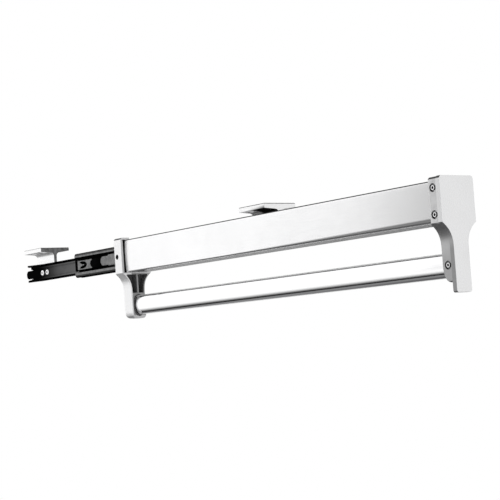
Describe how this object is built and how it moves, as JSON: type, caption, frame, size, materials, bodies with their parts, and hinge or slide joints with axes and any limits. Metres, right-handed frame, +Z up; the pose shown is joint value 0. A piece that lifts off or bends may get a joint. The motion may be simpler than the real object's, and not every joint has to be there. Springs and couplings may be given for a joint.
{
  "type": "pull-out trouser rack",
  "caption": "Wardrobe trouser rack: a slotted aluminium beam with a flat-oval hanging rod below it, drawn forward on a telescopic ball slide that hangs from two T brackets.",
  "frame": {"origin": "centre of the front bracket's top face, which bears on the underside of the shelf", "axes": "+Z up out of the brackets' top faces, -Y forward, the way the rack pulls out, +X to the right seen from the front"},
  "size_m": [0.041, 0.7372, 0.1018],
  "materials": {
    "anodised_aluminium": "satin anodised, fine lengthwise extrusion lines",
    "painted_casting": "satin silver paint over a casting",
    "black_zinc": "satin black",
    "bright_zinc": "zinc plated, slightly dull",
    "bright_steel": "polished",
    "cage_polymer": "matte",
    "black_rubber": "matte"
  },
  "bodies": {
    "mount": {"front_bracket": "anodised_aluminium", "rear_bracket": "anodised_aluminium", "fixed_rail": "black_zinc", "front_rail_screw_a": "bright_steel", "front_rail_screw_b": "bright_steel", "rear_rail_screw_a": "bright_steel", "rear_rail_screw_b": "bright_steel"},
    "far_ball_cage": {"far_cage": "cage_polymer", "far_upper_ball_1": "bright_steel", "far_upper_ball_2": "bright_steel", "far_upper_ball_3": "bright_steel", "far_upper_ball_4": "bright_steel", "far_lower_ball_1": "bright_steel", "far_lower_ball_2": "bright_steel", "far_lower_ball_3": "bright_steel", "far_lower_ball_4": "bright_steel"},
    "middle": {"far_middle_channel": "bright_zinc", "near_middle_channel": "bright_zinc", "spine_rivet_1": "bright_steel", "spine_rivet_2": "bright_steel", "spine_rivet_3": "bright_steel", "slide_stop_plate": "bright_zinc", "slide_bumper": "black_rubber"},
    "near_ball_cage": {"near_cage": "cage_polymer", "near_upper_ball_1": "bright_steel", "near_upper_ball_2": "bright_steel", "near_upper_ball_3": "bright_steel", "near_upper_ball_4": "bright_steel", "near_lower_ball_1": "bright_steel", "near_lower_ball_2": "bright_steel", "near_lower_ball_3": "bright_steel", "near_lower_ball_4": "bright_steel"},
    "carriage": {"moving_rail": "bright_zinc", "moving_rail_screw_1": "bright_steel", "moving_rail_screw_2": "bright_steel", "moving_rail_screw_3": "bright_steel", "beam": "anodised_aluminium", "front_plate": "anodised_aluminium", "front_cap": "painted_casting", "plate_screw_a": "bright_steel", "plate_screw_b": "bright_steel", "front_cap_upper_screw": "bright_steel", "front_cap_lower_screw": "bright_steel", "front_leg_screw": "bright_steel", "rear_cap": "painted_casting", "rear_cap_screw": "bright_steel", "hanging_rod": "anodised_aluminium"}
  },
  "joints": [
    {"name": "middle_slide", "type": "slide", "parent": "mount", "child": "middle", "axis": [0, -1, 0], "range_m": [-0.135, 0.115]},
    {"name": "far_cage_slide", "type": "slide", "parent": "mount", "child": "far_ball_cage", "axis": [0, -1, 0], "range_m": [-0.0675, 0.0575]},
    {"name": "carriage_slide", "type": "slide", "parent": "middle", "child": "carriage", "axis": [0, -1, 0], "range_m": [-0.057, 0.183]},
    {"name": "near_cage_slide", "type": "slide", "parent": "middle", "child": "near_ball_cage", "axis": [0, -1, 0], "range_m": [-0.0285, 0.0915]}
  ],
  "couplings": [
    {"joint": "far_cage_slide", "follows": "middle_slide", "ratio": 0.5},
    {"joint": "near_cage_slide", "follows": "carriage_slide", "ratio": 0.5}
  ]
}
